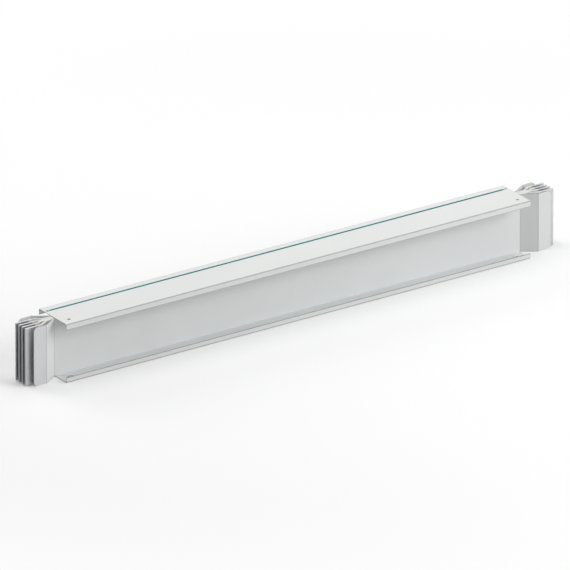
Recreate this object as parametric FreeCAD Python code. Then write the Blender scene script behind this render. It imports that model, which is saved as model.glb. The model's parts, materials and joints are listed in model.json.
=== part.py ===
import FreeCAD, Part
import math
import os

from FreeCAD import Vector

# A straight length of sandwich busway: four coated flat bars stand side by side between
# two side plates, a cover closes the top and another the bottom, and at both ends the
# bars and the plates spread apart to take the next length's joint.
# X runs along the length, Y across it with the front at -Y, and Z is up. The origin is
# the middle of the bottom cover's underside.

# Casing
CASING_LENGTH = 1600.0
CASING_WIDTH = 140.0
CASING_HEIGHT = 180.0
COVER_SHEET = 1.5
COVER_FOLD = 1.0
TOP_LIP = 18.0
BOTTOM_LIP = 16.0

# Holes in the covers
HOLE_DIAMETER = 6.6
HOLE_FROM_EDGE = 28.0
FRONT_HOLE_FROM_END = 27.0
BACK_HOLE_FROM_END = 10.0

# Conductor bars and their coats
BAR_COUNT = 4
BAR_THICKNESS = 5.0
BAR_EDGE_CHAMFER = 0.6
BAR_BEND_RADIUS = 8.0
BAR_REACH = 110.0
BAR_SPREAD_END = 55.0
BAR_TIP_GAP = 11.0
BAR_HEADROOM = 0.7
BARE_TIP = 42.0
COAT = 0.3

# Side plates
PLATE_SHEET = 1.5
PLATE_FOLD = 1.0
PLATE_BEND_RADIUS = 4.0
PLATE_REACH = 91.0
PLATE_SPREAD_START = 4.0
PLATE_TIP_GAP = 12.0
PLATE_TIP_CORNER = 14.0
PLATE_STEP_CLEARANCE = 0.5
FLANGE_TO_LIP = 1.2
FLANGE_CUT_ANGLE = 34.0

# The slope at which bars and plates leave the stack
SPREAD_ANGLE = 31.8

# Places that follow from the sizes above
HALF_LENGTH = CASING_LENGTH / 2
FLOOR = COVER_SHEET
CEILING = CASING_HEIGHT - COVER_SHEET
STACK_PITCH = BAR_THICKNESS + 2 * COAT
TIP_PITCH = BAR_THICKNESS + BAR_TIP_GAP
STACK_HALF = BAR_COUNT * STACK_PITCH / 2
TIP_HALF = ((BAR_COUNT - 1) * TIP_PITCH + BAR_THICKNESS) / 2
BAR_BOTTOM = FLOOR + COAT
BAR_HEIGHT = CEILING - BAR_HEADROOM - BAR_BOTTOM
SLOPE = math.tan(math.radians(SPREAD_ANGLE))
OVERCUT = 1.0


def plan_point(along, across):
    """A point of a plan drawing, at height zero."""
    return Vector(along, across, 0)


def section_point(across, up):
    """A point of a section drawing, in the middle of the length."""
    return Vector(0, across, up)


def bend(before, corner, after, radius):
    """Tangent points and centre of the bend that a line makes at a corner."""
    into = (corner - before).normalize()
    out = (after - corner).normalize()
    half_turn = into.getAngle(out) / 2
    room = 0.45 * min((corner - before).Length, (after - corner).Length)
    tangent = min(radius * math.tan(half_turn), room)
    inward = (out - into).normalize()
    centre = corner + inward * (tangent / math.sin(half_turn))
    return corner - into * tangent, corner + out * tangent, centre


def side_edges(points, radius, normal, offset):
    """Straight and round edges of a bent line, moved sideways by the offset."""
    edges = []
    first = (points[1] - points[0]).normalize()
    last_point = points[0] + normal.cross(first) * offset
    for before, corner, after in zip(points, points[1:], points[2:]):
        start, end, centre = bend(before, corner, after, radius)
        into = (corner - before).normalize()
        out = (after - corner).normalize()
        arc_start = start + normal.cross(into) * offset
        arc_end = end + normal.cross(out) * offset
        towards_corner = (corner - centre).normalize()
        arc_middle = centre + towards_corner * (arc_start - centre).Length
        edges.append(Part.LineSegment(last_point, arc_start).toShape())
        edges.append(Part.Arc(arc_start, arc_middle, arc_end).toShape())
        last_point = arc_end
    direction = (points[-1] - points[-2]).normalize()
    end_point = points[-1] + normal.cross(direction) * offset
    edges.append(Part.LineSegment(last_point, end_point).toShape())
    return edges


def strip(points, thickness, radius, normal):
    """Face of a strip of one thickness that follows a bent line, in the plane of the normal."""
    left = side_edges(points, radius, normal, thickness / 2)
    right = side_edges(points, radius, normal, -thickness / 2)
    ends = [
        Part.LineSegment(left[0].firstVertex().Point, right[0].firstVertex().Point).toShape(),
        Part.LineSegment(left[-1].lastVertex().Point, right[-1].lastVertex().Point).toShape(),
    ]
    outline = Part.Wire(Part.__sortEdges__(left + right + ends))
    return Part.Face(outline)


def folded_section(points, sheet, fold, length):
    """A folded sheet: its section's middle line drawn along Y and Z, pulled along X."""
    profile = strip(points, sheet, fold + sheet / 2, Vector(1, 0, 0))
    profile.translate(Vector(-length / 2, 0, 0))
    return profile.extrude(Vector(length, 0, 0))


def upright_strip(points, thickness, radius, bottom, height):
    """A flat strip on edge: its plan's middle line drawn along X and Y, pulled up."""
    profile = strip(points, thickness, radius, Vector(0, 0, 1))
    profile.translate(Vector(0, 0, bottom))
    return profile.extrude(Vector(0, 0, height))


def cover_holes():
    """The four screw holes that each cover has, as plugs through the whole height."""
    rows = [
        (-1, FRONT_HOLE_FROM_END),
        (1, BACK_HOLE_FROM_END),
    ]
    plugs = []
    for side, from_end in rows:
        for end in (-1, 1):
            plug = Part.makeCylinder(HOLE_DIAMETER / 2, CASING_HEIGHT + 2 * OVERCUT)
            across = side * (CASING_WIDTH / 2 - HOLE_FROM_EDGE)
            plug.translate(Vector(end * (HALF_LENGTH - from_end), across, -OVERCUT))
            plugs.append(plug)
    return plugs


def cover(lip, outer_face, inward):
    """A channel with two lips: inward is -1 under the top cover, 1 over the bottom one."""
    lip_line = (CASING_WIDTH - COVER_SHEET) / 2
    web_line = outer_face + inward * COVER_SHEET / 2
    lip_end = outer_face + inward * lip
    points = [
        section_point(-lip_line, lip_end),
        section_point(-lip_line, web_line),
        section_point(lip_line, web_line),
        section_point(lip_line, lip_end),
    ]
    channel = folded_section(points, COVER_SHEET, COVER_FOLD, CASING_LENGTH)
    return channel.cut(cover_holes())


def spread_half(stack_place, tip_place, spread_start, reach):
    """Middle line, seen from above, of the right end of a piece that leaves the stack."""
    spread_end = spread_start + abs(tip_place - stack_place) / SLOPE
    return [
        plan_point(HALF_LENGTH + spread_start, stack_place),
        plan_point(HALF_LENGTH + spread_end, tip_place),
        plan_point(HALF_LENGTH + reach, tip_place),
    ]


def bar_line(index):
    """Middle line of one bar, counted from the back of the stack; a middle bar is straight."""
    from_middle = (BAR_COUNT - 1) / 2 - index
    stack_place = from_middle * STACK_PITCH
    tip_place = from_middle * TIP_PITCH
    spread_start = BAR_SPREAD_END - abs(tip_place - stack_place) / SLOPE
    right_half = spread_half(stack_place, tip_place, spread_start, BAR_REACH)
    if from_middle == 0:
        right_half = right_half[-1:]
    left_half = [plan_point(-point.x, point.y) for point in reversed(right_half)]
    return left_half + right_half


def long_edges(solid, end):
    """Edges along the top and bottom of an upright strip, without those of its two ends."""
    box = solid.BoundBox
    found = []
    for edge in solid.Edges:
        level = edge.BoundBox.ZLength < 0.01
        outer = edge.BoundBox.ZMin > box.ZMax - 0.01 or edge.BoundBox.ZMax < box.ZMin + 0.01
        at_end = min(abs(vertex.X) for vertex in edge.Vertexes) > end - 0.01
        if level and outer and not at_end:
            found.append(edge)
    return found


def bar_solid(index, coat):
    """One bar with its long edges broken; with a coat, the outside of that coat instead."""
    thickness = BAR_THICKNESS + 2 * coat
    height = BAR_HEIGHT + 2 * coat
    solid = upright_strip(bar_line(index), thickness, BAR_BEND_RADIUS, BAR_BOTTOM - coat, height)
    chamfer = BAR_EDGE_CHAMFER + coat * (2 - math.sqrt(2))
    return solid.makeChamfer(chamfer, long_edges(solid, HALF_LENGTH + BAR_REACH))


def insulation(index):
    """The coat on one bar: it stops short of the tips, which stay bare for the joint."""
    coated_half = HALF_LENGTH + BAR_REACH - BARE_TIP
    keep = Part.makeBox(2 * coated_half, CASING_WIDTH, CASING_HEIGHT)
    keep.translate(Vector(-coated_half, -CASING_WIDTH / 2, 0))
    return bar_solid(index, COAT).common(keep).cut(bar_solid(index, 0))


def flange_cut(web_face, flange_edge):
    """The corner that is sheared off both flanges at one end of a side plate."""
    start = web_face + PLATE_FOLD
    edge = flange_edge + OVERCUT
    run = (edge - start) / math.tan(math.radians(FLANGE_CUT_ANGLE))
    corners = [
        plan_point(HALF_LENGTH, start),
        plan_point(HALF_LENGTH + OVERCUT, start),
        plan_point(HALF_LENGTH + OVERCUT, edge),
        plan_point(HALF_LENGTH - run, edge),
    ]
    outline = Part.makePolygon(corners + corners[:1])
    return Part.Face(outline).extrude(Vector(0, 0, CASING_HEIGHT))


def plate_channel(web_line, flange_edge):
    """The part of a side plate between the covers: a web with a flange along each cover."""
    points = [
        section_point(flange_edge, CEILING - PLATE_SHEET / 2),
        section_point(web_line, CEILING - PLATE_SHEET / 2),
        section_point(web_line, FLOOR + PLATE_SHEET / 2),
        section_point(flange_edge, FLOOR + PLATE_SHEET / 2),
    ]
    channel = folded_section(points, PLATE_SHEET, PLATE_FOLD, CASING_LENGTH)
    corner = flange_cut(web_line + PLATE_SHEET / 2, flange_edge)
    return channel.cut([corner, corner.mirror(Vector(0, 0, 0), Vector(1, 0, 0))])


def cover_end_steps():
    """Room for one end of both covers, above and below the web of a side plate."""
    length = OVERCUT + PLATE_STEP_CLEARANCE
    steps = []
    for level in (CEILING, FLOOR - CASING_HEIGHT):
        step = Part.makeBox(length, CASING_WIDTH, CASING_HEIGHT)
        step.translate(Vector(HALF_LENGTH - OVERCUT, -CASING_WIDTH / 2, level))
        steps.append(step)
    return steps


def plate_end(web_line, tip_line):
    """The flared end of a side plate: as high as the casing, with its tip's corners rounded."""
    points = [plan_point(HALF_LENGTH, web_line)]
    points += spread_half(web_line, tip_line, PLATE_SPREAD_START, PLATE_REACH)
    end = upright_strip(points, PLATE_SHEET, PLATE_BEND_RADIUS, 0, CASING_HEIGHT)
    tip = HALF_LENGTH + PLATE_REACH
    corners = []
    for edge in end.Edges:
        box = edge.BoundBox
        if box.XMin > tip - 0.01 and box.ZLength < 0.01:
            corners.append(edge)
    return end.makeFillet(PLATE_TIP_CORNER, corners).cut(cover_end_steps())


def side_plate():
    """The side plate of the back, at +Y: a flanged web whose two ends spread outwards."""
    web_line = STACK_HALF + PLATE_SHEET / 2
    tip_line = TIP_HALF + PLATE_TIP_GAP + PLATE_SHEET / 2
    flange_edge = CASING_WIDTH / 2 - COVER_SHEET - FLANGE_TO_LIP
    channel = plate_channel(web_line, flange_edge)
    end = plate_end(web_line, tip_line)
    other_end = end.mirror(Vector(0, 0, 0), Vector(1, 0, 0))
    return channel.fuse([end, other_end]).removeSplitter()


def save(shape, name):
    """Write one piece to its own file, after a look that it is one sound solid."""
    solids = shape.Solids
    if len(solids) != 1 or not solids[0].isValid():
        raise RuntimeError(name + " isn't one sound solid")
    solids[0].exportStep("parts/" + name + ".step")
    print(name, "volume", round(solids[0].Volume / 1000, 1), "cm3")


os.makedirs("parts", exist_ok=True)
save(cover(TOP_LIP, CASING_HEIGHT, -1), "top_cover")
save(cover(BOTTOM_LIP, 0, 1), "bottom_cover")
back_plate = side_plate()
save(back_plate, "side_plate_back")
save(back_plate.mirror(Vector(0, 0, 0), Vector(0, 1, 0)), "side_plate_front")
for index in range(BAR_COUNT):
    save(bar_solid(index, 0), "bar_" + str(index + 1))
    save(insulation(index), "insulation_" + str(index + 1))
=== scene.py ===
# %% [markdown]
# # A length of sandwich busway
#
# This notebook dresses a finished construction model of one straight length of busway: four flat
# conductor bars, packed side by side between two sheet side plates, with a channel cover above and
# below. Every rigid piece keeps the shape that the construction model gives it. What is left to do
# here is the finish of each surface, the thin painted line on the top cover, the studio and the camera.

import json
import math

import bmesh
import bpy
from mathutils import Matrix, Vector


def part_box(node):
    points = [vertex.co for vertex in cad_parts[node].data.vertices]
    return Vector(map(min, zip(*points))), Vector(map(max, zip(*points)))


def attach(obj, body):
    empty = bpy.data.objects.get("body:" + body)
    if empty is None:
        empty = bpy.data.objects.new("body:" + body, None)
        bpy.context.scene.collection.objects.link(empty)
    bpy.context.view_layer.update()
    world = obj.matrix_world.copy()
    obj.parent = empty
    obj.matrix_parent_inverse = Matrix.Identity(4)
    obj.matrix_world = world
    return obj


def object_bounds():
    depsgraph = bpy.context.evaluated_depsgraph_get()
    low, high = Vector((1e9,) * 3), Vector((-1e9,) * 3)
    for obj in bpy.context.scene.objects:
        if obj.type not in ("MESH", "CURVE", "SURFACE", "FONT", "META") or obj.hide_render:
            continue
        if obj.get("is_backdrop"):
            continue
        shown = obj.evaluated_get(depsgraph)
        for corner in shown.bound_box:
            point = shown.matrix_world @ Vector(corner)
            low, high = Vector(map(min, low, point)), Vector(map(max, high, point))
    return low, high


MM_PER_M = 1000

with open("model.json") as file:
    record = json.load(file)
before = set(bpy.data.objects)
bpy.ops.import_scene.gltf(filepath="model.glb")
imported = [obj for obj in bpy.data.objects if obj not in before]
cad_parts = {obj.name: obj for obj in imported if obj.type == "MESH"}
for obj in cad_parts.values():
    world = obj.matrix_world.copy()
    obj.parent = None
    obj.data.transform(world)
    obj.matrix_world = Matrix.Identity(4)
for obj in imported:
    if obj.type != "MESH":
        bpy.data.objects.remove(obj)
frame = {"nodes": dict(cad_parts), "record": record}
cad_low, cad_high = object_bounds()
for name in sorted(frame["nodes"]):
    low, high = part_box(name)
    print(name, "measures", [round(side * MM_PER_M, 1) for side in high - low], "mm")

# %% [markdown]
# ## Sizes read from the model
#
# The finishes need to know where the folds, ends, lips and holes are, so that paint is thinnest
# along a fold and bare metal shows where a sheet was cut. All of that can be read from the model's
# own boxes and from its record of mounts, so the finishes still fit when a size of the model
# changes.

# %% Read the sizes
casing_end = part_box("bottom_cover")[1].x
casing_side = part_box("bottom_cover")[1].y
casing_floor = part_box("bottom_cover")[0].z
casing_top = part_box("top_cover")[1].z
top_lip_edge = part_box("top_cover")[0].z
bottom_lip_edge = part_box("bottom_cover")[1].z
plate_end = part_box("side_plate_back")[1].x
coat_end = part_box("insulation_1")[1].x
print("casing", round(2 * casing_end, 3), "x", round(2 * casing_side, 3), "x", round(casing_top, 3), "m")

# %% Find the screw holes
mounts = {mount["name"]: mount for mount in frame["record"]["mounts"]}
hole_rows = {}
for row in ("top_front_holes", "top_back_holes"):
    mount = mounts[row]
    along = mount["dims"]["spacing_x_mm"] / 2 / MM_PER_M
    hole_rows[row] = (along, mount["pos_m"][1])
hole_radius = mounts["top_back_holes"]["dims"]["hole_r_mm"] / MM_PER_M
print("holes of radius", hole_radius, "m lie at", list(hole_rows.values()))

# %% [markdown]
# ## Small helpers for shader nodes
#
# A procedural finish is a tree of small nodes. Making each node by hand takes many lines, so a few
# short helpers do it: one adds a node and sets its properties and inputs, another feeds an input
# with either a plain value or the output of another node, and the rest give a sum, a smooth change
# and a point's own place, which come back in nearly every tree.

# %% Node helpers
def feed(tree, socket, value):
    """Give an input a plain value, or link it to another node's output."""
    if isinstance(value, bpy.types.NodeSocket):
        tree.links.new(value, socket)
    else:
        socket.default_value = value


def add(tree, kind, inputs=None, **properties):
    """Add one shader node to a tree, set its properties and feed its inputs."""
    node = tree.nodes.new("ShaderNode" + kind)
    for name, value in properties.items():
        setattr(node, name, value)
    for name, value in (inputs or {}).items():
        feed(tree, node.inputs[name], value)
    return node


def maths(tree, operation, *values):
    """One Math node, and its result."""
    return add(tree, "Math", dict(enumerate(values)), operation=operation).outputs[0]


print("nodes can be added and fed")

# %% Helpers for a smooth change and a place
def ramp(tree, value, from_low, from_high, to_low=0.0, to_high=1.0):
    """A smooth change of one value as another goes from one limit to the other."""
    inputs = {
        "Value": value,
        "From Min": from_low,
        "From Max": from_high,
        "To Min": to_low,
        "To Max": to_high,
    }
    return add(tree, "MapRange", inputs, interpolation_type="SMOOTHSTEP").outputs["Result"]


def place(tree):
    """Where a point lies on the object, in metres: as one vector and as three values."""
    coordinates = add(tree, "TexCoord")
    split = add(tree, "SeparateXYZ", {"Vector": coordinates.outputs["Object"]})
    return coordinates.outputs["Object"], split.outputs


print("values can change smoothly, and places can be read")

# %% [markdown]
# ## Shared effects as node groups
#
# Paint, film and metal share a few effects: a slow drift of tone over a large sheet, a fine grain,
# lines left by rolling or sawing, and wear at folds, ends and holes. Each effect is built once as a
# node group with named inputs, and each finish places it with its own values. That is easier to
# read and to tune than the same nodes copied into five materials.

# %% Group helpers
VALUE = "NodeSocketFloat"
COLOUR = "NodeSocketColor"


def new_group(name, inputs, outputs):
    """An empty node group with the named inputs and outputs."""
    tree = bpy.data.node_groups.new(name, "ShaderNodeTree")
    for label, kind, default in inputs:
        socket = tree.interface.new_socket(name=label, in_out="INPUT", socket_type=kind)
        socket.default_value = default
    for label, kind in outputs:
        tree.interface.new_socket(name=label, in_out="OUTPUT", socket_type=kind)
    ends = tree.nodes.new("NodeGroupInput"), tree.nodes.new("NodeGroupOutput")
    return tree, ends[0].outputs, ends[1].inputs


def use_group(tree, group, inputs):
    """Place a node group in a material and feed its inputs."""
    node = add(tree, "Group", node_tree=group)
    for name, value in inputs.items():
        feed(tree, node.inputs[name], value)
    return node.outputs


print("groups can be made and used")

# %% [markdown]
# No large sheet is one even tone. A coating line leaves slow clouds in it, a few hands wide. They
# could be painted by hand, but a soft noise on the object's own coordinates does the same on every
# piece and never stretches. Such a noise lies mostly between 0.3 and 0.7, so a helper spreads it
# over the range that is wanted. The group also puts out the clouds themselves, so that gloss can
# follow them.

# %% Group: tone drift
NOISE_LOW = 0.3
NOISE_HIGH = 0.7


def spread(tree, noise, low=0.0, high=1.0):
    """A noise that fills a whole range."""
    return ramp(tree, noise, NOISE_LOW, NOISE_HIGH, low, high)


def make_tone_drift():
    """Slow, faint changes of tone over a surface."""
    tree, given, result = new_group(
        "tone_drift",
        [("Colour", COLOUR, (0.8, 0.8, 0.8, 1)), ("Size", VALUE, 0.25), ("Amount", VALUE, 0.03)],
        [("Colour", COLOUR), ("Drift", VALUE)],
    )
    point, _ = place(tree)
    scale = maths(tree, "DIVIDE", 1.0, given["Size"])
    noise = add(tree, "TexNoise", {"Vector": point, "Scale": scale, "Detail": 3.0, "Roughness": 0.55})
    drift = spread(tree, noise.outputs["Fac"])
    share = maths(tree, "MULTIPLY", maths(tree, "SUBTRACT", drift, 0.5), given["Amount"])
    gain = maths(tree, "ADD", 1.0, share)
    scaled = add(tree, "VectorMath", {0: given["Colour"], "Scale": gain}, operation="SCALE")
    feed(tree, result["Colour"], scaled.outputs[0])
    feed(tree, result["Drift"], drift)
    return tree


tone_drift = make_tone_drift()
print("made", tone_drift.name)

# %% [markdown]
# Powder coat melts into a skin like orange peel, with hollows one to two millimetres apart. Modelled
# as geometry that would take millions of faces for a depth of some hundredths of a millimetre, so
# it is a noise that only tilts the shading.

# %% Group: fine grain
def make_fine_grain():
    """The pebbled skin of a powder coat or a sprayed film, as a height."""
    tree, given, result = new_group(
        "fine_grain",
        [("Grain", VALUE, 0.0015), ("Soft", VALUE, 0.4)],
        [("Height", VALUE)],
    )
    point, _ = place(tree)
    scale = maths(tree, "DIVIDE", 1.0, given["Grain"])
    inputs = {"Vector": point, "Scale": scale, "Detail": 2.0, "Roughness": given["Soft"]}
    feed(tree, result["Height"], add(tree, "TexNoise", inputs).outputs["Fac"])
    return tree


fine_grain = make_fine_grain()
print("made", fine_grain.name)

# %% [markdown]
# Rolling leaves long fine lines along a bar, and a saw leaves short ones across its end. Both are
# the same noise, stretched by a different length along each axis, so one group with three lengths
# makes both.

# %% Group: drawn lines
def make_drawn_lines():
    """Fine lines in metal, as a noise with its own grain length along each axis."""
    tree, given, result = new_group(
        "drawn_lines",
        [("Length X", VALUE, 0.4), ("Length Y", VALUE, 0.001), ("Length Z", VALUE, 0.001)],
        [("Lines", VALUE)],
    )
    point, _ = place(tree)
    lengths = add(tree, "CombineXYZ", {axis: given["Length " + axis] for axis in "XYZ"})
    drawn = add(tree, "VectorMath", {0: point, 1: lengths.outputs[0]}, operation="DIVIDE")
    inputs = {"Vector": drawn.outputs[0], "Scale": 1.0, "Detail": 4.0, "Roughness": 0.65}
    feed(tree, result["Lines"], add(tree, "TexNoise", inputs).outputs["Fac"])
    return tree


drawn_lines = make_drawn_lines()
print("made", drawn_lines.name)

# %% [markdown]
# Powder flows away from a sharp fold while it melts, so the coat is thinnest there and the grey
# steel below darkens it. Handling then rubs the fold in patches. The mask comes from the distance
# to the line where the two outer faces would meet, which works on any fold that runs along the
# busway. It works as well on the free edge of a lip, where shearing bruises the coat beside the cut.

# %% Helpers for wear
def past(tree, coordinate, limit):
    """How far a point lies past a limit that is equally far from the middle at both sides."""
    return maths(tree, "SUBTRACT", maths(tree, "ABSOLUTE", coordinate), limit)


def off_line(tree, one_way, other_way):
    """How far a point lies off a line, worked out from its offsets in two directions square to it."""
    squares = maths(tree, "MULTIPLY_ADD", one_way, one_way, maths(tree, "POWER", other_way, 2.0))
    return maths(tree, "SQRT", squares)


def fade(tree, value, start, end):
    """1 up to a first limit of a value, and 0 from a second one."""
    return ramp(tree, value, start, end, 1.0, 0.0)


def patches(tree, point, scale, weak, strong):
    """Irregular patches of weak and strong wear, told by two levels of a rough noise."""
    noise = add(tree, "TexNoise", {"Vector": point, "Scale": scale, "Detail": 4.0, "Roughness": 0.7})
    return ramp(tree, noise.outputs["Fac"], weak, strong, 0.1, 1.0)


print("wear can be placed")

# %% Group: worn fold
FOLD_PATCHES = {"scale": 60.0, "weak": 0.42, "strong": 0.62}
THIN_FADES = (0.35, 0.7)
RUB_FADES = (0.4, 1.0)


def make_worn_fold():
    """A steady thin line and patchy rubbing along the folds or lips at one level, at both sides."""
    tree, given, result = new_group(
        "worn_fold",
        [("Side", VALUE, casing_side), ("Level", VALUE, casing_top), ("Width", VALUE, 0.004)],
        [("Thin", VALUE), ("Rub", VALUE)],
    )
    point, split = place(tree)
    off_side = past(tree, split["Y"], given["Side"])
    off_level = maths(tree, "SUBTRACT", split["Z"], given["Level"])
    share = maths(tree, "DIVIDE", off_line(tree, off_side, off_level), given["Width"])
    near = fade(tree, share, *RUB_FADES)
    feed(tree, result["Thin"], fade(tree, share, *THIN_FADES))
    feed(tree, result["Rub"], maths(tree, "MULTIPLY", near, patches(tree, point, **FOLD_PATCHES)))
    return tree


worn_fold = make_worn_fold()
print("made", worn_fold.name)

# %% [markdown]
# The side plates are bent round upright lines, where they spread. The press leaves a faint crease in
# each bend. Its place needs no measuring: on the bend, and only there, the surface looks partly
# along the busway, more than the flat web does and less than the slanting part does. The slope of
# that part is typed in, because neither a box nor a mount tells it.

# %% Group: bend crease
PLATE_SLOPE = math.radians(31.8)
CREASE_BEGINS = (0.04, 0.2)
CREASE_ENDS = (0.8, 0.96)


def facing(tree):
    """How far a point's surface looks along X, Y and Z, each from 0 to 1."""
    coordinates = add(tree, "TexCoord")
    size = add(tree, "VectorMath", {0: coordinates.outputs["Normal"]}, operation="ABSOLUTE")
    return add(tree, "SeparateXYZ", {"Vector": size.outputs[0]}).outputs


def make_bend_crease():
    """The faint crease along an upright bend, told by the way the surface looks."""
    slant = math.sin(PLATE_SLOPE)
    tree, given, result = new_group("bend_crease", [("Slant", VALUE, slant)], [("Thin", VALUE)])
    share = maths(tree, "DIVIDE", facing(tree)["X"], given["Slant"])
    begun = ramp(tree, share, *CREASE_BEGINS)
    ending = fade(tree, share, *CREASE_ENDS)
    feed(tree, result["Thin"], maths(tree, "MULTIPLY", begun, ending))
    return tree


bend_crease = make_bend_crease()
print("made", bend_crease.name)

# %% [markdown]
# The ends of the sheets knock against things in transport, and screw heads and washers turn on the paint
# around each hole.
# The ring round each hole is also darkened well past such wear, as painted shade, so that the small hole
# reads as a dark dot.
# Two more masks give those places: one by the distance to an end, the other by the distance to a hole's
# axis.

# %% Group: worn end
END_PATCHES = {"scale": 90.0, "weak": 0.4, "strong": 0.65}


def make_worn_end():
    """Patchy rubbing near the two ends, which lie equally far from the middle."""
    tree, given, result = new_group(
        "worn_end",
        [("End", VALUE, casing_end), ("Width", VALUE, 0.004)],
        [("Rub", VALUE)],
    )
    point, split = place(tree)
    off_end = maths(tree, "ABSOLUTE", past(tree, split["X"], given["End"]))
    near = fade(tree, maths(tree, "DIVIDE", off_end, given["Width"]), 0.0, 1.0)
    feed(tree, result["Rub"], maths(tree, "MULTIPLY", near, patches(tree, point, **END_PATCHES)))
    return tree


worn_end = make_worn_end()
print("made", worn_end.name)

# %% Group: hole rim
WALL_FADES = (0.1, 0.2)
RING_FADES = (0.75, 1.0)


def make_hole_rim():
    """The wall of a pair of holes, and a dark ring around them: washer wear and painted shade of the
    hole.
    """
    tree, given, result = new_group(
        "hole_rim",
        [
            ("Along", VALUE, 0.7),
            ("Across", VALUE, 0.0),
            ("Radius", VALUE, 0.003),
            ("Ring", VALUE, 0.002),
        ],
        [("Wall", VALUE), ("Rub", VALUE)],
    )
    _, split = place(tree)
    off_along = past(tree, split["X"], given["Along"])
    off_across = maths(tree, "SUBTRACT", split["Y"], given["Across"])
    off_wall = maths(tree, "SUBTRACT", off_line(tree, off_along, off_across), given["Radius"])
    share = maths(tree, "DIVIDE", off_wall, given["Ring"])
    feed(tree, result["Wall"], fade(tree, share, *WALL_FADES))
    feed(tree, result["Rub"], fade(tree, share, *RING_FADES))
    return tree


hole_rim = make_hole_rim()
print("made", hole_rim.name)

# %% [markdown]
# Coated sheet is cut after it is coated, so its cut edges are bare zinc-grey steel. They are one
# and a half millimetres wide, which is enough to draw a fine dark line around every sheet. A cut
# face is told by where it lies and the way it looks: along the busway at an end, up or down at the
# free edge of a lip, anything but sideways on an upright plate beyond the casing, and anything but
# up or down on a flange that runs out sideways inside it.

# %% Helpers for cut faces
SQUARE_ON = (0.75, 0.9)
EDGE_ON = (0.2, 0.45)


def square_on(tree, look):
    """1 where a surface looks straight along an axis, and 0 where it slants away."""
    return ramp(tree, look, *SQUARE_ON)


def edge_on(tree, look):
    """1 where a surface hardly looks along an axis, and 0 where it does."""
    return fade(tree, look, *EDGE_ON)


def outside(tree, coordinate, limit):
    """1 past a limit that is equally far from the middle at both sides, and 0 within it."""
    return maths(tree, "GREATER_THAN", maths(tree, "ABSOLUTE", coordinate), limit)


def strongest(tree, masks):
    """The largest of several masks at each point."""
    result = masks[0]
    for mask in masks[1:]:
        result = maths(tree, "MAXIMUM", result, mask)
    return result


print("directions can be told apart, and masks combined")

# %% Group: cut edge
NOWHERE = 10.0


def make_cut_edge():
    """Where a sheet shows its cut edge: at ends, on lips, beyond the casing and on flanges."""
    tree, given, result = new_group(
        "cut_edge",
        [
            ("Lip Low", VALUE, 0.0),
            ("Lip High", VALUE, 0.0),
            ("Beyond", VALUE, NOWHERE),
            ("Flange", VALUE, NOWHERE),
        ],
        [("Cut", VALUE)],
    )
    _, split = place(tree)
    looks = facing(tree)
    at_end = square_on(tree, looks["X"])
    above = maths(tree, "GREATER_THAN", split["Z"], given["Lip Low"])
    below = maths(tree, "LESS_THAN", split["Z"], given["Lip High"])
    level = maths(tree, "MULTIPLY", above, below)
    on_lip = maths(tree, "MULTIPLY", level, square_on(tree, looks["Z"]))
    beyond = outside(tree, split["X"], given["Beyond"])
    on_plate = maths(tree, "MULTIPLY", beyond, edge_on(tree, looks["Y"]))
    out = outside(tree, split["Y"], given["Flange"])
    inside = maths(tree, "MULTIPLY", out, maths(tree, "SUBTRACT", 1.0, beyond))
    on_flange = maths(tree, "MULTIPLY", inside, edge_on(tree, looks["Z"]))
    feed(tree, result["Cut"], strongest(tree, [at_end, on_lip, on_plate, on_flange]))
    return tree


cut_edge = make_cut_edge()
print("made", cut_edge.name)

# %% [markdown]
# ## Finishes
#
# Every finish starts from an empty Principled shader. A bump turns a height into a tilt of the
# shading, with its depth given in metres. Colours blend through a Mix node, and the gloss follows
# the clouds of the tone. A last helper puts the finish on the construction pieces in place of
# their plain one.

# %% Material helpers
def new_material(name):
    """A material with an empty Principled shader, and its tree."""
    material = bpy.data.materials.new(name)
    material.use_nodes = True
    tree = material.node_tree
    tree.nodes.clear()
    shader = add(tree, "BsdfPrincipled")
    add(tree, "OutputMaterial", {"Surface": shader.outputs["BSDF"]}, target="ALL")
    return material, tree, shader


def bump(tree, shader, height, depth):
    """Turn a height into the shader's normal. The depth is in metres."""
    node = add(tree, "Bump", {"Height": height, "Distance": depth})
    feed(tree, shader.inputs["Normal"], node.outputs["Normal"])


def dress(node_names, material):
    """Put one material on construction pieces, in place of the plain one."""
    for node_name in node_names:
        slots = frame["nodes"][node_name].data.materials
        slots.clear()
        slots.append(material)
    print(material.name, "is on", ", ".join(node_names))


print("finishes can be made and put on")

# %% Colour and gloss helpers
def mixed(tree, factor, first, second):
    """A colour between two others. A Mix node takes colours at inputs 6 and 7, and gives output 2."""
    return add(tree, "Mix", {0: factor, 6: first, 7: second}, data_type="RGBA").outputs[2]


def cloudy(tree, tone, low, high):
    """A roughness that follows the clouds of a tone, from one value to another."""
    return ramp(tree, tone["Drift"], 0.0, 1.0, low, high)


print("colours can be mixed, and gloss follows the tone")

# %% [markdown]
# The covers and side plates are pale, powder-coated sheet steel. The drawing shows every face white
# and new, so the clouds and the rubbing stay faint, and the coat is matt, so that no lamp shows in
# it as a glare. What matters more is what a drawing tells with lines: the folds, the bends, the
# lips, the cut edges and the holes each get their own thin, darker tone.

# %% Colours and widths of wear
CUT_STEEL = (0.28, 0.29, 0.3, 1)
PRIMER = (0.4, 0.41, 0.42, 1)
FOLD_WIDTH = 0.005
LIP_WIDTH = 0.003
END_WIDTH = 0.005
RING_WIDTH = 0.0022
print("wear reaches", FOLD_WIDTH, "m from a fold and", LIP_WIDTH, "m from the edge of a lip")

# %% Strength of wear
RUB_SHOWS = 0.35
THIN_SHOWS = 0.8
# The ring round a hole is darkened far more than wear would: washer wear plus painted shade of the hole.
RING_WEAR_AND_SHADE_SHOWS = 0.85
CUT_METALLIC = 0.6
RUB_SMOOTHS = 0.1
print("rubbed coat shows", RUB_SHOWS, "of the primer, and thin coat", THIN_SHOWS)

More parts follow.
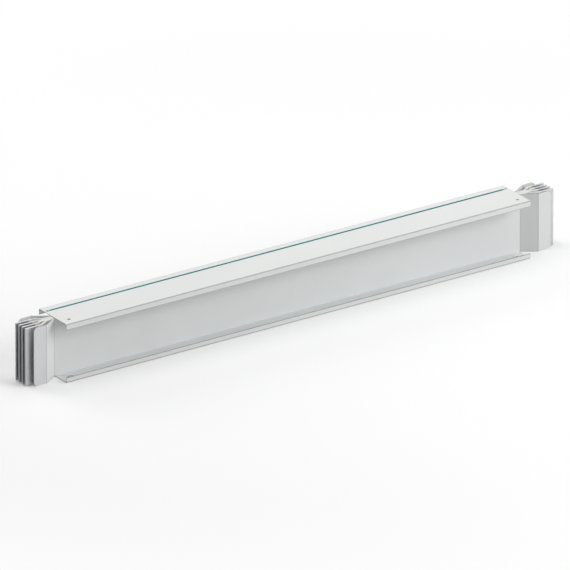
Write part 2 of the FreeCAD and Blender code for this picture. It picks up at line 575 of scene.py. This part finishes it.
# %% Powder coat
COAT_CLOUDS = {"Size": 0.3, "Amount": 0.035}
COAT_SHEEN = 0.3
COAT_GRAIN = {"Grain": 0.0017, "Soft": 0.45}
COAT_GRAIN_DEPTH = 0.00009


def powder_coat(name, colour, matt, folds, ends, holes, edge):
    """A pale powder coat between two limits of roughness, with its folds, ends, holes and cuts."""
    material, tree, shader = new_material(name)
    tone = use_group(tree, tone_drift, {"Colour": colour, **COAT_CLOUDS})
    rubs = [use_group(tree, worn_end, {"End": end, "Width": END_WIDTH})["Rub"] for end in ends]
    bare = [use_group(tree, cut_edge, edge)["Cut"]]
    thin = [use_group(tree, bend_crease, {})["Thin"]]
    for side, level, width in folds:
        fold = use_group(tree, worn_fold, {"Side": side, "Level": level, "Width": width})
        rubs.append(fold["Rub"])
        thin.append(fold["Thin"])
    for along, across in holes:
        sizes = {"Along": along, "Across": across, "Radius": hole_radius, "Ring": RING_WIDTH}
        rim = use_group(tree, hole_rim, sizes)
        bare.append(rim["Wall"])
        # The ring goes most of the way to dark bare steel: partly washer wear, partly painted shade, so
        # that each hole reads as a dark dot.
        bare.append(maths(tree, "MULTIPLY", rim["Rub"], RING_WEAR_AND_SHADE_SHOWS))
    rub = strongest(tree, rubs)
    cut = strongest(tree, bare)
    rubbed = mixed(tree, maths(tree, "MULTIPLY", rub, RUB_SHOWS), tone["Colour"], PRIMER)
    lined = mixed(tree, maths(tree, "MULTIPLY", strongest(tree, thin), THIN_SHOWS), rubbed, PRIMER)
    feed(tree, shader.inputs["Base Color"], mixed(tree, cut, lined, CUT_STEEL))
    feed(tree, shader.inputs["Metallic"], maths(tree, "MULTIPLY", cut, CUT_METALLIC))
    roughness = maths(tree, "MULTIPLY_ADD", rub, -RUB_SMOOTHS, cloudy(tree, tone, *matt))
    feed(tree, shader.inputs["Roughness"], roughness)
    shader.inputs["Specular IOR Level"].default_value = COAT_SHEEN
    grain = use_group(tree, fine_grain, COAT_GRAIN)
    bump(tree, shader, grain["Height"], COAT_GRAIN_DEPTH)
    return material


print("the coat is ready to use")

# %% Coat the covers
COVER_WHITE = (0.8, 0.81, 0.8, 1)
COVER_MATT = (0.59, 0.7)
EDGE_ROOM = 0.0003

cover_folds = [(casing_side, level, FOLD_WIDTH) for level in (casing_top, casing_floor)]
cover_folds += [(casing_side, level, LIP_WIDTH) for level in (top_lip_edge, bottom_lip_edge)]
cover_edge = {"Lip Low": bottom_lip_edge - EDGE_ROOM, "Lip High": top_lip_edge + EDGE_ROOM}
cover_holes = list(hole_rows.values())
cover_coat = powder_coat(
    "white_powder_coat", COVER_WHITE, COVER_MATT, cover_folds, [casing_end], cover_holes, cover_edge
)
dress(["top_cover", "bottom_cover"], cover_coat)

# %% Coat the side plates
PLATE_WHITE = (0.76, 0.775, 0.775, 1)
PLATE_MATT = (0.61, 0.72)

plate_edge = {"Beyond": casing_end + EDGE_ROOM, "Flange": casing_side / 2}
plate_coat = powder_coat("side_powder_coat", PLATE_WHITE, PLATE_MATT, [], [plate_end], [], plate_edge)
dress(["side_plate_front", "side_plate_back"], plate_coat)

# %% [markdown]
# The bars are flat metal with a thin tin plating. Tin is silky rather than mirror-like, a little
# cloudy, and shows faint lines along the bar from rolling. The sawn end of each bar is duller and
# darker, with fine marks of the saw across it.

# %% Values of the tin
TIN_CLOUDS = {"Colour": (0.54, 0.545, 0.555, 1), "Size": 0.035, "Amount": 0.1}
TIN_SILK = (0.36, 0.48)
CLOUD_DULLS = 0.06
ROLLED_LINES = {"Length X": 0.4, "Length Y": 0.0009, "Length Z": 0.0009}
SAWN_METAL = (0.32, 0.325, 0.33, 1)
SAWN_LINES = {"Length X": 0.01, "Length Y": 0.03, "Length Z": 0.0007}
SAWN_TONE = (0.75, 1.0)
SAWN_DULLS = 0.12
LINE_DEPTH = 0.00003
print("the tin's roughness goes from", TIN_SILK[0], "to", TIN_SILK[1], "along its rolled lines")

# %% Tinned bars
def between(tree, factor, first, second):
    """A value between two others. A Mix node takes values at inputs 2 and 3, and gives output 0."""
    return add(tree, "Mix", {0: factor, 2: first, 3: second}).outputs[0]


def tinned_metal():
    """Silky tin plating over rolled bar, with dull sawn ends."""
    material, tree, shader = new_material("tinned_metal")
    rolled = use_group(tree, drawn_lines, ROLLED_LINES)["Lines"]
    sawn = use_group(tree, drawn_lines, SAWN_LINES)["Lines"]
    cloud = use_group(tree, tone_drift, TIN_CLOUDS)
    at_end = square_on(tree, facing(tree)["X"])
    saw_tone = maths(tree, "MULTIPLY", at_end, spread(tree, sawn, *SAWN_TONE))
    feed(tree, shader.inputs["Base Color"], mixed(tree, saw_tone, cloud["Colour"], SAWN_METAL))
    shader.inputs["Metallic"].default_value = 1.0
    silk = maths(tree, "MULTIPLY_ADD", cloud["Drift"], CLOUD_DULLS, spread(tree, rolled, *TIN_SILK))
    feed(tree, shader.inputs["Roughness"], maths(tree, "MULTIPLY_ADD", at_end, SAWN_DULLS, silk))
    bump(tree, shader, between(tree, at_end, rolled, sawn), LINE_DEPTH)
    return material


bar_names = sorted(name for name in frame["nodes"] if name.startswith("bar_"))
dress(bar_names, tinned_metal())

# %% [markdown]
# Over most of its length a bar wears an insulating film. It is milky and satin, a little uneven in
# thickness, and creeps slightly thinner towards its ends, where a faint darker margin shows the
# metal through.

# %% Insulating film
FILM_CLOUDS = {"Colour": (0.74, 0.74, 0.715, 1), "Size": 0.08, "Amount": 0.05}
FILM_SATIN = (0.42, 0.54)
FILM_GRAIN = {"Grain": 0.003, "Soft": 0.5}
FILM_GRAIN_DEPTH = 0.00006
FILM_MARGIN = (0.5, 0.5, 0.48, 1)
MARGIN_WIDTH = 0.004


def insulating_film():
    """A milky satin film, a little uneven in tone and gloss, with a darker margin at its ends."""
    material, tree, shader = new_material("milky_film")
    tone = use_group(tree, tone_drift, FILM_CLOUDS)
    margin = use_group(tree, worn_end, {"End": coat_end, "Width": MARGIN_WIDTH})["Rub"]
    feed(tree, shader.inputs["Base Color"], mixed(tree, margin, tone["Colour"], FILM_MARGIN))
    feed(tree, shader.inputs["Roughness"], cloudy(tree, tone, *FILM_SATIN))
    grain = use_group(tree, fine_grain, FILM_GRAIN)
    bump(tree, shader, grain["Height"], FILM_GRAIN_DEPTH)
    return material


film_names = sorted(name for name in frame["nodes"] if name.startswith("insulation_"))
dress(film_names, insulating_film())

# %% [markdown]
# ## The line on the top cover
#
# One thin teal line runs along the top cover's back half, from screw hole to screw hole. On the
# real sheet it is a painted marking, a tenth or two of a millimetre thick. It is made as a flat
# strip that lies on the cover, because a stripe drawn into the cover's paint would depend on the
# paint's texture being sharp enough to show a line this thin.

# %% Marking paint
TEAL_CLOUDS = {"Colour": (0.001, 0.2, 0.185, 1), "Size": 0.02, "Amount": 0.15}
TEAL_MATT = (0.6, 0.75)
TEAL_SHEEN = 0.06
TEAL_GRAIN = {"Grain": 0.001, "Soft": 0.5}
TEAL_GRAIN_DEPTH = 0.00003


def marking_material():
    """Matt teal marking paint, slightly uneven."""
    material, tree, shader = new_material("teal_marking_paint")
    tone = use_group(tree, tone_drift, TEAL_CLOUDS)
    feed(tree, shader.inputs["Base Color"], tone["Colour"])
    feed(tree, shader.inputs["Roughness"], cloudy(tree, tone, *TEAL_MATT))
    shader.inputs["Specular IOR Level"].default_value = TEAL_SHEEN
    grain = use_group(tree, fine_grain, TEAL_GRAIN)
    bump(tree, shader, grain["Height"], TEAL_GRAIN_DEPTH)
    return material


marking_paint = marking_material()
print("made", marking_paint.name)

# %% Marking line
LINE_WIDTH = 0.0075
LINE_THICKNESS = 0.00015
LINE_TO_HOLE = 0.006
LINE_ROUNDING = LINE_WIDTH * 0.45


def marking_line():
    """The strip between the two back holes of the top cover, with rounded ends."""
    along, across = hole_rows["top_back_holes"]
    length = 2 * (along - LINE_TO_HOLE)
    shape = bmesh.new()
    bmesh.ops.create_cube(shape, size=1.0)
    bmesh.ops.scale(shape, vec=(length, LINE_WIDTH, LINE_THICKNESS), verts=shape.verts)
    bmesh.ops.translate(shape, vec=(0, across, casing_top + LINE_THICKNESS / 2), verts=shape.verts)
    upright = [edge for edge in shape.edges if edge.calc_length() < LINE_WIDTH / 2]
    bmesh.ops.bevel(
        shape, geom=upright, offset=LINE_ROUNDING, segments=6, profile=0.5, affect="EDGES", material=-1
    )
    bmesh.ops.recalc_face_normals(shape, faces=shape.faces)
    mesh = bpy.data.meshes.new("marking_line")
    shape.to_mesh(mesh)
    shape.free()
    mesh.materials.append(marking_paint)
    piece = bpy.data.objects.new("marking_line", mesh)
    bpy.context.scene.collection.objects.link(piece)
    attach(piece, "root")
    return piece


line = marking_line()
print("the line is", round(line.dimensions.x, 3), "m long and", LINE_WIDTH, "m wide")

# %% [markdown]
# ## Studio
#
# The drawing's ground is plain white. A large pale floor under soft lamps comes nearest to that and
# still holds the object's shadow. For light that bounces off it the floor is greyer, so that it
# doesn't flood the object's underside. To the eye it glows a little near the object, so that it
# reaches white round the shadow, and far away it only glows, so that it meets the sky unseen.

# %% Floor material
GLOW_NEAR = 0.07
GLOW_FROM = 1.1
GLOW_TO = 2.4
WHITE = (1, 1, 1, 1)
BLACK = (0, 0, 0, 1)
NEAR_FLOOR = (0.97, 0.97, 0.97, 1)
BOUNCING_FLOOR = (0.52, 0.52, 0.52, 1)


def seen_directly(tree):
    """1 for what the camera sees itself or in a reflection, and 0 for light that only bounces."""
    ray = add(tree, "LightPath").outputs
    return strongest(tree, [ray["Is Camera Ray"], ray["Is Glossy Ray"], ray["Is Transmission Ray"]])


def floor_material():
    """White to the eye, and grey to bounced light."""
    material, tree, shader = new_material("studio_floor")
    seen = seen_directly(tree)
    point, _ = place(tree)
    away = add(tree, "VectorMath", {0: point}, operation="LENGTH").outputs["Value"]
    far = ramp(tree, away, GLOW_FROM, GLOW_TO)
    seen_colour = mixed(tree, far, NEAR_FLOOR, BLACK)
    feed(tree, shader.inputs["Base Color"], mixed(tree, seen, BOUNCING_FLOOR, seen_colour))
    glow = maths(tree, "MULTIPLY_ADD", far, 1.0 - GLOW_NEAR, GLOW_NEAR)
    seen_glow = maths(tree, "MULTIPLY", seen, glow)
    feed(tree, shader.inputs["Emission Color"], mixed(tree, seen_glow, BLACK, WHITE))
    shader.inputs["Emission Strength"].default_value = 1.0
    shader.inputs["Roughness"].default_value = 0.9
    shader.inputs["Specular IOR Level"].default_value = 0.0
    return material


print("the floor glows more from", GLOW_FROM, "m off the middle and only glows past", GLOW_TO, "m")

# %% Floor
FLOOR_HALF = 9.0
FLOOR_DROP = 0.0002


def make_floor():
    """A flat square, a hair below the bottom cover so that the two faces don't fall together."""
    shape = bmesh.new()
    bmesh.ops.create_grid(shape, x_segments=1, y_segments=1, size=FLOOR_HALF)
    bmesh.ops.translate(shape, vec=(0, 0, casing_floor - FLOOR_DROP), verts=shape.verts)
    mesh = bpy.data.meshes.new("studio_floor")
    shape.to_mesh(mesh)
    shape.free()
    mesh.materials.append(floor_material())
    floor = bpy.data.objects.new("studio_floor", mesh)
    bpy.context.scene.collection.objects.link(floor)
    floor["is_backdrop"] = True


make_floor()
print("the floor is", 2 * FLOOR_HALF, "m wide")

# %% [markdown]
# A sky of even strength fills every shadow softly. One large softbox overhead makes the top cover
# the brightest face, and one at the front right gives the side plates and their bends different
# tones, which a drawing shows with lines. That one is the widest, so that its reflection stays soft
# and doesn't bleach the top cover when the view is turned. A weak one at the left opens the shade
# between the bars, and another behind keeps the back from looking dull.

# %% World
AMBIENT = 0.35


def make_world():
    """An even pale sky that looks white and lights the object softly from all round."""
    world = bpy.data.worlds.new("studio")
    bpy.context.scene.world = world
    world.use_nodes = True
    tree = world.node_tree
    tree.nodes.clear()
    strength = maths(tree, "MULTIPLY_ADD", seen_directly(tree), 1.0 - AMBIENT, AMBIENT)
    sky = add(tree, "Background", {"Color": WHITE, "Strength": strength})
    add(tree, "OutputWorld", {"Surface": sky.outputs["Background"]})


make_world()
print("the sky lights at", AMBIENT, "and looks white")

# %% Softboxes
def softbox(name, place_at, size, power):
    """A square lamp that faces the middle of the busway. Its size is in metres, its power in watts."""
    data = bpy.data.lights.new(name, "AREA")
    data.shape = "SQUARE"
    data.size = size
    data.energy = power
    lamp = bpy.data.objects.new(name, data)
    bpy.context.scene.collection.objects.link(lamp)
    aim = Vector((0, 0, casing_top / 2)) - Vector(place_at)
    lamp.matrix_world = Matrix.Translation(place_at) @ aim.to_track_quat("-Z", "Y").to_matrix().to_4x4()
    print(name, "softbox,", size, "m wide,", round(aim.length, 1), "m away")


softbox("overhead", place_at=(0.3, 0.9, 5.0), size=4.4, power=92)
softbox("key", place_at=(4.6, -5.2, 3.2), size=5.6, power=370)
softbox("left_fill", place_at=(-4.4, -3.2, 1.6), size=2.0, power=10)
softbox("back_fill", place_at=(-2.4, 5.6, 2.6), size=3.6, power=110)

# %% [markdown]
# ## Camera
#
# The drawing is a parallel projection, seen from the front left and from above. A very long lens
# far away gives nearly the same picture and, unlike an orthographic camera, also frames the whole
# length when the view is turned. The direction comes from the drawing: along the busway a length
# shows at 0.826 across and 0.221 up, and only one azimuth and elevation do that.

# %% Camera
VIEW_AZIMUTH = math.radians(-34.265)
VIEW_ELEVATION = math.radians(23.11)
VIEW_WIDTH = 1.6259
LENS = 1500.0
SENSOR = 36.0
CLIP_NEAR = 0.5
CLIP_FAR = 1.5
IMAGE_SIZE = 570
ORIGIN_PIXEL = (286.12, 312.45)


def make_camera():
    """A camera that puts the model's origin on its pixel of the drawing, at the drawing's scale."""
    data = bpy.data.cameras.new("camera")
    data.lens = LENS
    data.sensor_width = SENSOR
    distance = VIEW_WIDTH * LENS / SENSOR
    data.clip_start = distance * CLIP_NEAR
    data.clip_end = distance * CLIP_FAR
    towards = Vector((
        math.sin(VIEW_AZIMUTH) * math.cos(VIEW_ELEVATION),
        -math.cos(VIEW_AZIMUTH) * math.cos(VIEW_ELEVATION),
        math.sin(VIEW_ELEVATION),
    ))
    turn = (-towards).to_track_quat("-Z", "Y").to_matrix()
    metres_per_pixel = VIEW_WIDTH / IMAGE_SIZE
    right_by = (IMAGE_SIZE / 2 - ORIGIN_PIXEL[0]) * metres_per_pixel
    up_by = (ORIGIN_PIXEL[1] - IMAGE_SIZE / 2) * metres_per_pixel
    target = turn @ Vector((right_by, up_by, 0))
    camera = bpy.data.objects.new("camera", data)
    bpy.context.scene.collection.objects.link(camera)
    camera.matrix_world = Matrix.Translation(target + towards * distance) @ turn.to_4x4()
    bpy.context.scene.camera = camera
    print("the camera stands", round(distance, 1), "m away")


make_camera()

# %% [markdown]
# ## Finish
#
# The picture keeps colours as they are written, with the Standard view. The last lines compare the
# dressed model's box with the construction model's, and hand the scene over.

# %% Compare the sizes and finish
bpy.context.scene.view_settings.view_transform = "Standard"

bpy.context.view_layer.update()
seen_low, seen_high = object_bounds()
growth = max((seen_high - cad_high).length, (seen_low - cad_low).length)
print("the box grew by", round(growth * MM_PER_M, 3), "mm")
